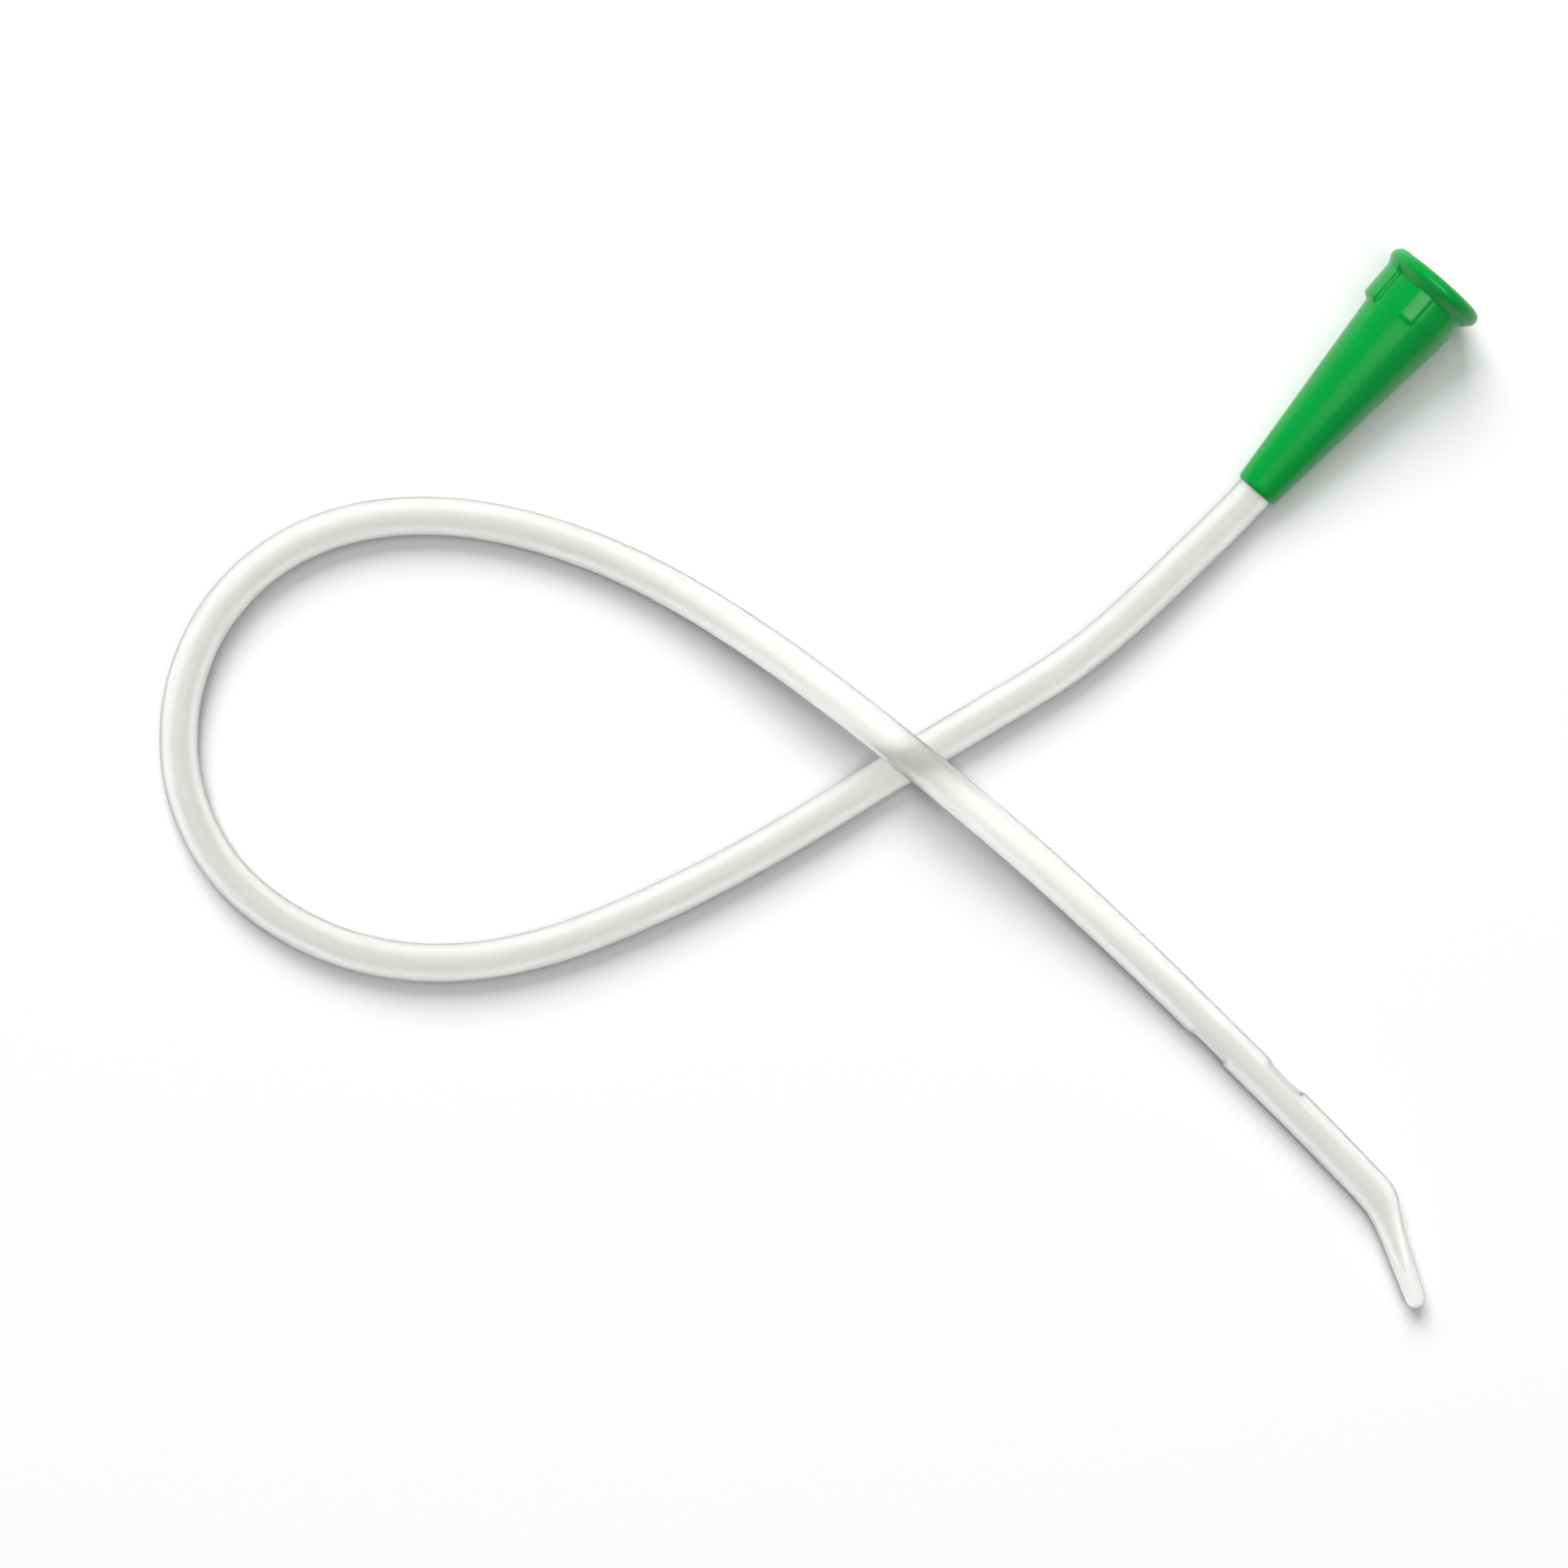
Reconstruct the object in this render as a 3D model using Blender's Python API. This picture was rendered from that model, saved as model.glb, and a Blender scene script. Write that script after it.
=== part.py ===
"""Coude catheter: a soft clear drainage tube with a bent, tapered tip and a moulded green funnel.

Metres, +Z up. The catheter lies on a flat surface at z = 0, as it comes to rest. The funnel's axis
runs along +X in plan with its mouth towards +X, and its raised key and the tip's bend share one side.
The origin is the middle of the whole catheter's bounding box, at the surface.
"""
import math

import bmesh
import bpy
import numpy as np
from mathutils import Matrix, Vector

# Drainage tube: 14 French, which is 14/3 mm across
TUBE_DIAMETER = 0.00467
LUMEN_DIAMETER = 0.00310
TUBE_SIDES = 20
RING_SPACING = 0.0040

# Coude tip, from the corner of the bend to the end of its round closed nose
TIP_LENGTH = 0.0144
TIP_BEND = math.radians(24.0)
TIP_BEND_RADIUS = 0.0065
TAPER_LENGTH = 0.0060
TIP_NECK_DIAMETER = 0.00308
NOSE_DIAMETER = 0.00250

# Drainage eyes: two staggered oval holes, one through each side wall of the shaft
EYE_LENGTH = 0.0059
EYE_WIDTH = 0.0021
EYE_TO_BEND = 0.0170
EYE_STAGGER = 0.0095

# Socket that the tube is bonded into, and the throat that stops the tube's end
SOCKET_DEPTH = 0.0090
BOND_GAP = 0.0002
TUBE_END_GAP = 0.0003
THROAT_STEP = 0.0005
THROAT_LENGTH = 0.0008
THROAT_FLARE_LENGTH = 0.0022

# Funnel, along its own axis from the small end
SMALL_END_WALL = 0.00024
SMALL_END_LIP = 0.00008
SMALL_END_ROUNDING = 0.0010
CONE_LENGTH = 0.0280
BAND_DIAMETER = 0.0109
BAND_LENGTH = 0.0030
RIM_DIAMETER = 0.0133
RIM_ROUNDING = 0.0010
RIM_FILLET = 0.0005
FUNNEL_WALL = 0.0009
MOUTH_LEAD_IN = 0.0003
FUNNEL_SIDES = 48

# Raised orientation key on the side that the tip points to, and the grip pad near the top
KEY_START = 0.0262
KEY_HEIGHT = 0.00065
KEY_HALF_ANGLE = math.radians(35.0)
KEY_RAMP = 0.0008
PAD_START = 0.0263
PAD_WIDTH = 0.0021
PAD_HEIGHT = 0.00022
PAD_TURN = math.radians(5.0)
RAISED_EDGE = 0.00012

# The tube lifts over its own crossing in one long low hump
CROSSING_GAP = 0.0003
HUMP_HALF_LENGTH = 0.060

# Plan route of the shaft, from the funnel's small end at (0, 0) to the start of the tip's bend
SHAFT_ROUTE = [
    (0.0000, 0.0000),
    (-0.0100, 0.0006),
    (-0.0200, 0.0015),
    (-0.0300, 0.0031),
    (-0.0410, 0.0064),
    (-0.0525, 0.0102),
    (-0.0680, 0.0151),
    (-0.0883, 0.0231),
    (-0.1040, 0.0325),
    (-0.1128, 0.0424),
    (-0.1172, 0.0530),
    (-0.1179, 0.0635),
    (-0.1148, 0.0730),
    (-0.1073, 0.0812),
    (-0.0970, 0.0857),
    (-0.0856, 0.0855),
    (-0.0751, 0.0805),
    (-0.0668, 0.0720),
    (-0.0606, 0.0610),
    (-0.0568, 0.0500),
    (-0.0544, 0.0377),
    (-0.0530, 0.0240),
    (-0.0523, 0.0105),
    (-0.0519, -0.0040),
    (-0.0520, -0.0170),
    (-0.0525, -0.0300),
    (-0.0533, -0.0430),
    (-0.0540, -0.0540),
    (-0.0551, -0.0668),
]
CROSSING_OVER = 22

# Sizes that follow from the ones above
TUBE_RADIUS = TUBE_DIAMETER / 2
LUMEN_RADIUS = LUMEN_DIAMETER / 2
SOCKET_RADIUS = TUBE_RADIUS + BOND_GAP
THROAT_RADIUS = TUBE_RADIUS - THROAT_STEP
SMALL_END_RADIUS = SOCKET_RADIUS + SMALL_END_WALL
BAND_RADIUS = BAND_DIAMETER / 2
RIM_CENTRE_RADIUS = RIM_DIAMETER / 2 - RIM_ROUNDING
RIM_FOOT = CONE_LENGTH + BAND_LENGTH
RIM_BACK = math.radians(45.0)


def clear_scene():
    """Remove whatever objects the file holds."""
    for existing in list(bpy.data.objects):
        bpy.data.objects.remove(existing, do_unlink=True)


def plastic(name, color, roughness):
    """Return a plain Principled plastic."""
    material = bpy.data.materials.new(name)
    material.use_nodes = True
    shader = material.node_tree.nodes["Principled BSDF"]
    shader.inputs["Base Color"].default_value = (*color, 1.0)
    shader.inputs["Roughness"].default_value = roughness
    shader.inputs["Metallic"].default_value = 0.0
    material.diffuse_color = (*color, 1.0)
    return material


def clear_soft_plastic():
    """Frosted clear tubing, a warm pale grey."""
    return plastic("clear_soft_plastic", (0.82, 0.82, 0.78), 0.30)


def green_plastic():
    """Glossy moulded green."""
    return plastic("green_plastic", (0.0, 0.36, 0.07), 0.25)


def finish_object(name, shape, material=None):
    """Turn a bmesh into a named object with outward faces, shaded smooth between its sharp edges."""
    bmesh.ops.recalc_face_normals(shape, faces=shape.faces)
    mesh = bpy.data.meshes.new(name)
    shape.to_mesh(mesh)
    shape.free()
    mesh.shade_smooth()
    mesh.set_sharp_from_angle(angle=math.radians(35.0))
    if material:
        mesh.materials.append(material)
    item = bpy.data.objects.new(name, mesh)
    bpy.context.collection.objects.link(item)
    return item


def combine(target, tool, operation):
    """Join or cut an object with a hidden tool shape."""
    tool.hide_render = True
    tool.display_type = "WIRE"
    modifier = target.modifiers.new(tool.name, "BOOLEAN")
    modifier.operation = operation
    modifier.solver = "EXACT"
    modifier.object = tool


def arc(centre_x, centre_r, radius, start, end, steps):
    """Points of a round stretch in a profile of (x, r), between two angles in degrees from +x."""
    points = []
    for step in range(steps + 1):
        angle = math.radians(start + (end - start) * step / steps)
        points.append((centre_x + radius * math.cos(angle), centre_r + radius * math.sin(angle)))
    return points


class ShaftRoute:
    """The shaft's smooth course: a cubic spline in plan, with its height above the surface."""

    def __init__(self, plan_points, start_tangent):
        self.points = np.array(plan_points)
        self.steps = np.linalg.norm(np.diff(self.points, axis=0), axis=1)
        self.knots = np.concatenate([[0.0], np.cumsum(self.steps)])
        self.slopes = self.spline_slopes(np.array(start_tangent))
        self.length = self.knots[-1]

    def spline_slopes(self, start_tangent):
        """Slopes at the points that make the curvature run on through each of them."""
        count = len(self.points)
        rises = np.diff(self.points, axis=0) / self.steps[:, None]
        system = np.zeros((count, count))
        known = np.zeros((count, 2))
        system[0, 0] = 1.0
        known[0] = start_tangent
        for i in range(1, count - 1):
            before = self.steps[i - 1]
            after = self.steps[i]
            system[i, i - 1:i + 2] = (after, 2 * (before + after), before)
            known[i] = 3 * (after * rises[i - 1] + before * rises[i])
        system[-1, -2:] = (1.0, 2.0)
        known[-1] = 3 * rises[-1]
        return np.linalg.solve(system, known)

    def height(self, distance):
        """Height of the tube's axis: down from the funnel, level, and over the crossing."""
        drop = small_end_height() - TUBE_RADIUS
        settling_length = 2 * drop / math.tan(funnel_tilt())
        height = TUBE_RADIUS
        if distance < settling_length:
            height += drop * (1 - distance / settling_length) ** 2
        share = abs(distance - self.knots[CROSSING_OVER]) / HUMP_HALF_LENGTH
        if share < 1:
            height += (TUBE_DIAMETER + CROSSING_GAP) * (1 - share ** 2) ** 3
        return height

    def point(self, distance):
        """Centre of the tube at a distance from the funnel's small end."""
        i = int(np.clip(np.searchsorted(self.knots, distance, side="right") - 1, 0, len(self.steps) - 1))
        width = self.steps[i]
        u = (distance - self.knots[i]) / width
        near = (1 + 2 * u) * self.points[i] + u * width * self.slopes[i]
        far = (3 - 2 * u) * self.points[i + 1] - (1 - u) * width * self.slopes[i + 1]
        x, y = near * (1 - u) ** 2 + far * u ** 2
        return Vector((x, y, self.height(distance)))

    def direction(self, distance):
        """Direction of travel towards the tip."""
        reach = TUBE_RADIUS / 10
        return (self.point(distance + reach) - self.point(distance - reach)).normalized()


def cone_radius(x):
    """Outer radius of the funnel's cone at a distance from its small end."""
    return SMALL_END_RADIUS + (BAND_RADIUS - SMALL_END_RADIUS) * x / CONE_LENGTH


def rim_centre():
    """Distance from the small end to the middle of the rim's round crest."""
    crest_rise = RIM_CENTRE_RADIUS + RIM_ROUNDING * math.sin(RIM_BACK) - BAND_RADIUS
    return RIM_FOOT + crest_rise / math.tan(RIM_BACK) + RIM_ROUNDING * math.cos(RIM_BACK)


def funnel_length():
    """Length of the funnel from its small end to the face of its mouth."""
    return rim_centre() + RIM_ROUNDING


def funnel_tilt():
    """Slope of the funnel's axis when it rests on its rim and on its small end."""
    rise = RIM_DIAMETER / 2 - cone_radius(SMALL_END_ROUNDING)
    run = rim_centre() - SMALL_END_ROUNDING
    return math.atan2(rise, run)


def small_end_height():
    """Height of the funnel's axis at its small end when it rests."""
    tilt = funnel_tilt()
    return cone_radius(SMALL_END_ROUNDING) * math.cos(tilt) - SMALL_END_ROUNDING * math.sin(tilt)


def outer_profile():
    """The funnel's outside: rounded small end, cone, band, and the rim's sloped back and round crest."""
    profile = []
    corner_steps = 4
    depth = cone_radius(SMALL_END_ROUNDING) - SOCKET_RADIUS - SMALL_END_LIP
    for step in range(corner_steps):
        angle = math.pi / 2 * step / corner_steps
        x = SMALL_END_ROUNDING * (1 - math.cos(angle))
        profile.append((x, cone_radius(SMALL_END_ROUNDING) - depth * (1 - math.sin(angle))))
    cone_steps = 4
    for step in range(cone_steps + 1):
        x = SMALL_END_ROUNDING + (CONE_LENGTH - SMALL_END_ROUNDING) * step / cone_steps
        profile.append((x, cone_radius(x)))
    back = math.degrees(RIM_BACK)
    foot = RIM_FOOT - RIM_FILLET * math.tan(RIM_BACK / 2)
    profile += arc(foot, BAND_RADIUS + RIM_FILLET, RIM_FILLET, -90, back - 90, 3)
    profile += arc(rim_centre(), RIM_CENTRE_RADIUS, RIM_ROUNDING, 90 + back, 0, 8)
    return profile


def inner_profile():
    """The funnel's inside, from the mouth back through the throat to the socket's open end."""
    mouth_radius = BAND_RADIUS - FUNNEL_WALL
    flare_end = SOCKET_DEPTH + THROAT_LENGTH + THROAT_FLARE_LENGTH
    profile = arc(funnel_length() - MOUTH_LEAD_IN, mouth_radius + MOUTH_LEAD_IN, MOUTH_LEAD_IN, 0, -90, 3)
    cone_steps = 4
    for step in range(cone_steps + 1):
        x = CONE_LENGTH + (flare_end - CONE_LENGTH) * step / cone_steps
        profile.append((x, cone_radius(x) - FUNNEL_WALL))
    profile.append((SOCKET_DEPTH + THROAT_LENGTH, THROAT_RADIUS))
    profile.append((SOCKET_DEPTH, THROAT_RADIUS))
    profile.append((SOCKET_DEPTH, SOCKET_RADIUS))
    profile.append((SOCKET_DEPTH / 2, SOCKET_RADIUS))
    profile.append((0.0, SOCKET_RADIUS))
    return profile


def turned_ring(shape, profile, start_angle, sweep, steps):
    """Spin a closed (x, r) profile about the X axis, from an angle measured from +Z towards -Y."""
    vertices = []
    for x, radius in profile:
        place = (x, -radius * math.sin(start_angle), radius * math.cos(start_angle))
        vertices.append(shape.verts.new(place))
    if sweep < 2 * math.pi:
        geometry = [shape.faces.new(vertices)]
    else:
        geometry = [shape.edges.new((a, b)) for a, b in zip(vertices, vertices[1:] + vertices[:1])]
    bmesh.ops.spin(
        shape,
        geom=geometry,
        axis=(1, 0, 0),
        cent=(0, 0, 0),
        angle=sweep,
        steps=steps,
        use_merge=sweep >= 2 * math.pi,
    )


def funnel_body():
    """The moulded shell: one closed profile turned about the funnel's axis."""
    shape = bmesh.new()
    half_side = math.pi / FUNNEL_SIDES
    turned_ring(shape, outer_profile() + inner_profile(), half_side, 2 * math.pi, FUNNEL_SIDES)
    bmesh.ops.remove_doubles(shape, verts=shape.verts, dist=0.000001)
    return finish_object("funnel_connector", shape, green_plastic())


def soften(tool):
    """Take the sharp edge off a raised pad."""
    bevel = tool.modifiers.new("edge", "BEVEL")
    bevel.width = RAISED_EDGE
    bevel.segments = 2
    bevel.limit_method = "ANGLE"
    bevel.angle_limit = math.radians(30.0)


def key_tool():
    """Orientation key: a curved pad on the +Y side, with a ramp up from the cone, run into the rim."""
    middle = FUNNEL_WALL / 2
    end = RIM_FOOT + RIM_FILLET
    crest = BAND_RADIUS + KEY_HEIGHT
    profile = [
        (KEY_START, cone_radius(KEY_START) - middle),
        (KEY_START, cone_radius(KEY_START)),
        (KEY_START + KEY_RAMP, crest),
        (end, crest),
        (end, BAND_RADIUS - middle),
        (CONE_LENGTH, BAND_RADIUS - middle),
    ]
    shape = bmesh.new()
    start = math.radians(-90.0) - KEY_HALF_ANGLE
    turned_ring(shape, profile, start, 2 * KEY_HALF_ANGLE, 12)
    tool = finish_object("key_tool", shape)
    soften(tool)
    return tool


def pad_tool():
    """Grip pad: a narrow flat-topped pad along the band, turned from its top towards the key."""
    low = cone_radius(PAD_START) - FUNNEL_WALL / 2
    high = BAND_RADIUS + PAD_HEIGHT
    end = RIM_FOOT + RIM_FILLET
    shape = bmesh.new()
    bmesh.ops.create_cube(shape, size=1.0)
    bmesh.ops.scale(shape, vec=(end - PAD_START, PAD_WIDTH, high - low), verts=shape.verts)
    middle = ((PAD_START + end) / 2, 0.0, (low + high) / 2)
    bmesh.ops.translate(shape, vec=middle, verts=shape.verts)
    turn = Matrix.Rotation(-PAD_TURN, 3, "X")
    bmesh.ops.rotate(shape, cent=(0.0, 0.0, 0.0), matrix=turn, verts=shape.verts)
    tool = finish_object("pad_tool", shape)
    soften(tool)
    return tool


def make_funnel(root):
    """The funnel with its key and pad, resting on its rim and small end."""
    funnel = funnel_body()
    for tool in (key_tool(), pad_tool()):
        combine(funnel, tool, "UNION")
        tool.parent = funnel
    funnel.location = (0.0, 0.0, small_end_height())
    funnel.rotation_euler = (0.0, -funnel_tilt(), 0.0)
    funnel.parent = root
    return funnel


def tip_radius(from_corner):
    """Outer radius of the tip at a distance past the corner of its bend."""
    nose_centre = TIP_LENGTH - NOSE_DIAMETER / 2
    neck = TIP_NECK_DIAMETER / 2
    if from_corner <= 0:
        return TUBE_RADIUS
    if from_corner < TAPER_LENGTH:
        return TUBE_RADIUS - (TUBE_RADIUS - neck) * math.sin(math.pi / 2 * from_corner / TAPER_LENGTH)
    share = (from_corner - TAPER_LENGTH) / (nose_centre - TAPER_LENGTH)
    return neck + (NOSE_DIAMETER / 2 - neck) * share


def tip_stations(start, direction):
    """Centres, directions and radii through the bend and along the tip to its nose."""
    towards_key = direction.cross(Vector((0, 0, 1))).normalized()
    bend_centre = start + towards_key * TIP_BEND_RADIUS
    tangent_length = TIP_BEND_RADIUS * math.tan(TIP_BEND / 2)
    stations = []
    bend_steps = 4
    for step in range(1, bend_steps + 1):
        angle = TIP_BEND * step / bend_steps
        heading = direction * math.cos(angle) + towards_key * math.sin(angle)
        outward = direction * math.sin(angle) - towards_key * math.cos(angle)
        from_corner = TIP_BEND_RADIUS * angle - tangent_length
        stations.append((bend_centre + outward * TIP_BEND_RADIUS, heading, tip_radius(from_corner)))
    bend_end = stations[-1][0]
    heading = stations[-1][1]
    taper_run = TAPER_LENGTH - tangent_length
    nose_run = TIP_LENGTH - NOSE_DIAMETER / 2 - tangent_length
    taper_steps = 4
    for step in range(1, taper_steps + 1):
        run = taper_run * step / taper_steps
        stations.append((bend_end + heading * run, heading, tip_radius(run + tangent_length)))
    cone_steps = 3
    for step in range(1, cone_steps + 1):
        run = taper_run + (nose_run - taper_run) * step / cone_steps
        stations.append((bend_end + heading * run, heading, tip_radius(run + tangent_length)))
    return stations


def dome_stations(centre, direction, radius):
    """Rings of a round closed end, without its pole."""
    stations = []
    dome_steps = 4
    for step in range(1, dome_steps):
        angle = math.pi / 2 * step / dome_steps
        stations.append((centre + direction * radius * math.sin(angle), direction, radius * math.cos(angle)))
    return stations


def ring_vertices(shape, station):
    """One ring square to the tube's direction, with one flat side underneath."""
    centre, direction, radius = station
    level = Vector((0, 0, 1)).cross(direction).normalized()
    up = direction.cross(level)
    vertices = []
    for side in range(TUBE_SIDES):
        angle = 2 * math.pi * (side + 0.5) / TUBE_SIDES
        offset = level * math.cos(angle) + up * math.sin(angle)
        vertices.append(shape.verts.new(centre + offset * radius))
    return vertices


def close_with_pole(shape, vertices, pole):
    """Close a ring with a fan of triangles to one point."""
    tip = shape.verts.new(pole)
    for side in range(TUBE_SIDES):
        shape.faces.new((vertices[side], vertices[(side + 1) % TUBE_SIDES], tip))


def shaft_stations(route):
    """Centres and directions from the tube's end in the socket to the start of the bend."""
    tilt = funnel_tilt()
    axis = Vector((math.cos(tilt), 0.0, math.sin(tilt)))
    small_end = Vector((0.0, 0.0, small_end_height()))
    stations = []
    socket_steps = 2
    for step in range(socket_steps):
        inside = (SOCKET_DEPTH - TUBE_END_GAP) * (1 - step / socket_steps)
        stations.append((small_end + axis * inside, -axis))
    stations.append((small_end, -axis))
    count = round(route.length / RING_SPACING)
    for i in range(1, count + 1):
        distance = route.length * i / count
        stations.append((route.point(distance), route.direction(distance)))
    return stations


def tube_shell(route):
    """The tube as one skin: in along the lumen's wall, round the open end and out to the nose."""
    shaft = shaft_stations(route)
    bend_start, bend_direction = shaft[-1]
    tip = tip_stations(bend_start, bend_direction)
    nose_centre, heading, nose_radius = tip[-1]
    lumen_end = dome_stations(bend_start, bend_direction, LUMEN_RADIUS)
    stations = list(reversed(lumen_end))
    stations += [(centre, direction, LUMEN_RADIUS) for centre, direction in reversed(shaft)]
    stations += [(centre, direction, TUBE_RADIUS) for centre, direction in shaft]
    stations += tip
    stations += dome_stations(nose_centre, heading, nose_radius)
    shape = bmesh.new()
    rings = [ring_vertices(shape, station) for station in stations]
    for near, far in zip(rings, rings[1:]):
        for side in range(TUBE_SIDES):
            following = (side + 1) % TUBE_SIDES
            shape.faces.new((near[side], near[following], far[following], far[side]))
    close_with_pole(shape, rings[0], bend_start + bend_direction * LUMEN_RADIUS)
    close_with_pole(shape, rings[-1], nose_centre + heading * nose_radius)
    return finish_object("drainage_tube", shape, clear_soft_plastic())


def eye_tool(name, route, distance, side):
    """Cutter for one eye: an upright oval pushed sideways from the lumen out through the wall."""
    direction = route.direction(distance)
    sideways = Vector((0, 0, 1)).cross(direction).normalized() * side
    up = Vector((0, 0, 1))
    half_straight = (EYE_LENGTH - EYE_WIDTH) / 2
    end_steps = 8
    shape = bmesh.new()
    outline = []
    for end in (1, -1):
        for step in range(end_steps + 1):
            angle = math.pi * (step / end_steps - 0.5)
            along = end * (half_straight + EYE_WIDTH / 2 * math.cos(angle))
            across = end * EYE_WIDTH / 2 * math.sin(angle)
            outline.append(shape.verts.new(route.point(distance) + direction * along + up * across))
    face = shape.faces.new(outline)
    pushed = bmesh.ops.extrude_face_region(shape, geom=[face])
    moved = [item for item in pushed["geom"] if isinstance(item, bmesh.types.BMVert)]
    bmesh.ops.translate(shape, vec=sideways * TUBE_DIAMETER, verts=moved)
    return finish_object(name, shape)


def make_tube(root):
    """The drainage tube with its two eyes cut through."""
    route = ShaftRoute(SHAFT_ROUTE, (-1.0, 0.0))
    tube = tube_shell(route)
    tube.parent = root
    near_tip = route.length - EYE_TO_BEND
    for name, distance, side in (
        ("outer_eye_tool", near_tip, 1),
        ("inner_eye_tool", near_tip - EYE_STAGGER, -1),
    ):
        tool = eye_tool(name, route, distance, side)
        tool.parent = tube
        combine(tube, tool, "DIFFERENCE")
    return tube


def lowest_centre(items):
    """Middle of the items' bounding box, at its lowest level."""
    bpy.context.view_layer.update()
    corners = np.array([item.matrix_world @ vertex.co for item in items for vertex in item.data.vertices])
    low = corners.min(axis=0)
    high = corners.max(axis=0)
    return Vector(((low[0] + high[0]) / 2, (low[1] + high[1]) / 2, low[2]))


def main():
    """Build the catheter and put its origin under its middle."""
    clear_scene()
    root = bpy.data.objects.new("catheter_origin", None)
    bpy.context.collection.objects.link(root)
    items = [make_tube(root), make_funnel(root)]
    root.location = -lowest_centre(items)


main()
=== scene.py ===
"""Dresses a coude catheter, a clear soft tube with a bent tip and a green funnel, on a white table."""

import math

import bmesh
import bpy
import numpy as np
from bpy.props import FloatProperty, FloatVectorProperty, IntProperty, PointerProperty
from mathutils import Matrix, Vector


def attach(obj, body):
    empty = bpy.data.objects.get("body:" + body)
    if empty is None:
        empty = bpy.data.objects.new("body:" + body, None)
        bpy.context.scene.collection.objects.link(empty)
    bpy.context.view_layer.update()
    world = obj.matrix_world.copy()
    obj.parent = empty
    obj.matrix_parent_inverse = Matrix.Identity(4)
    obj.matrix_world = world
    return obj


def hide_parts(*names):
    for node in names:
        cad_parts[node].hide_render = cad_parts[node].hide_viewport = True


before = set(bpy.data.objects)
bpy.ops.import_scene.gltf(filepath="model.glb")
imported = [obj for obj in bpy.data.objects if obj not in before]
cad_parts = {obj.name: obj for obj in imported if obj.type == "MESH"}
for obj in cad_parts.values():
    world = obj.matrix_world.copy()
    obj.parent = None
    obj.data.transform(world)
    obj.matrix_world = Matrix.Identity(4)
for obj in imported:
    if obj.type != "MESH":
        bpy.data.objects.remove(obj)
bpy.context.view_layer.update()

bl_info = {
    "name": "Coude catheter",
    "version": (1, 0, 0),
    "blender": (4, 5, 0),
    "location": "3D View > Sidebar > Catheter",
    "description": "Models a coude catheter's clear tube and green funnel, and the table they lie on",
    "category": "Add Mesh",
}

# Middle of the funnel's small end on the table, from the CAD model
SMALL_END = Vector((0.043163, -0.003824, 0.00002))

# Plan route of the shaft from the funnel's small end to the start of the tip's bend, as in the CAD model
SHAFT_ROUTE = [
    (0.0000, 0.0000),
    (-0.0100, 0.0006),
    (-0.0200, 0.0015),
    (-0.0300, 0.0031),
    (-0.0410, 0.0064),
    (-0.0525, 0.0102),
    (-0.0680, 0.0151),
    (-0.0883, 0.0231),
    (-0.1040, 0.0325),
    (-0.1128, 0.0424),
    (-0.1172, 0.0530),
    (-0.1179, 0.0635),
    (-0.1148, 0.0730),
    (-0.1073, 0.0812),
    (-0.0970, 0.0857),
    (-0.0856, 0.0855),
    (-0.0751, 0.0805),
    (-0.0668, 0.0720),
    (-0.0606, 0.0610),
    (-0.0568, 0.0500),
    (-0.0544, 0.0377),
    (-0.0530, 0.0240),
    (-0.0523, 0.0105),
    (-0.0519, -0.0040),
    (-0.0520, -0.0170),
    (-0.0525, -0.0300),
    (-0.0533, -0.0430),
    (-0.0540, -0.0540),
    (-0.0551, -0.0668),
]

# Number of the route's point at which the shaft passes over its other end
CROSSING_OVER = 22

# The photograph's frame is square, and its middle lies here, measured from the small end
PHOTO_CENTRE = Vector((-0.0649, 0.0200, 0.0))

# Skin round an eye: how far it reaches past the eye, its loops, and how they gather at the eye
EYE_MARGIN = 0.0018
EYE_LOOPS = 7
EYE_GATHER = 1.2

# Film of adhesive between the tube and the funnel
BOND = 0.00004

# Finer rings of the funnel begin this far before its key
FINE_BEFORE_KEY = 0.0006

# Steps round the funnel, how near to an edge of the key or the pad they are fine, and the seam's least gap
FINE_TURN = math.radians(0.6)
PLAIN_TURN = math.radians(2.4)
FINE_REACH = math.radians(6.0)
SEAM_GAP = 0.001

# Steps along each stretch of the tube, and over the two edges of an eye
SOCKET_STEPS = 4
BEND_STEPS = 12
TIP_STEPS = 30
NOSE_STEPS = 8
EYE_EDGE_STEPS = 5
EYE_INNER_STEPS = 3

# Steps along each stretch of the funnel's profile
SMALL_END_STEPS = 8
CONE_STEPS = 14
BAND_STEPS = 37
FILLET_STEPS = 8
CREST_STEPS = 22
LEAD_IN_STEPS = 6
INSIDE_STEPS = 9

# Softness with which the key and the pad run into the rim
KEY_BLEND = 0.0002
PAD_BLEND = 0.00005


def length(name, description, default):
    """A size in metres that a user may change."""
    return FloatProperty(name=name, description=description, default=default, unit="LENGTH", precision=5)


def colour(name, description, default):
    """A linear colour that a user may change."""
    return FloatVectorProperty(
        name=name, description=description, default=default, subtype="COLOR", size=3, min=0.0, max=1.0
    )


def angle(name, description, degrees):
    """An angle that a user may change."""
    return FloatProperty(
        name=name, description=description, default=math.radians(degrees), unit="ROTATION", subtype="ANGLE"
    )


def amount(name, description, default):
    """A plain number that a user may change."""
    return FloatProperty(name=name, description=description, default=default)


def power(name, description, default):
    """A lamp's power in watts that a user may change."""
    return FloatProperty(name=name, description=description, default=default, unit="POWER")


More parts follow.
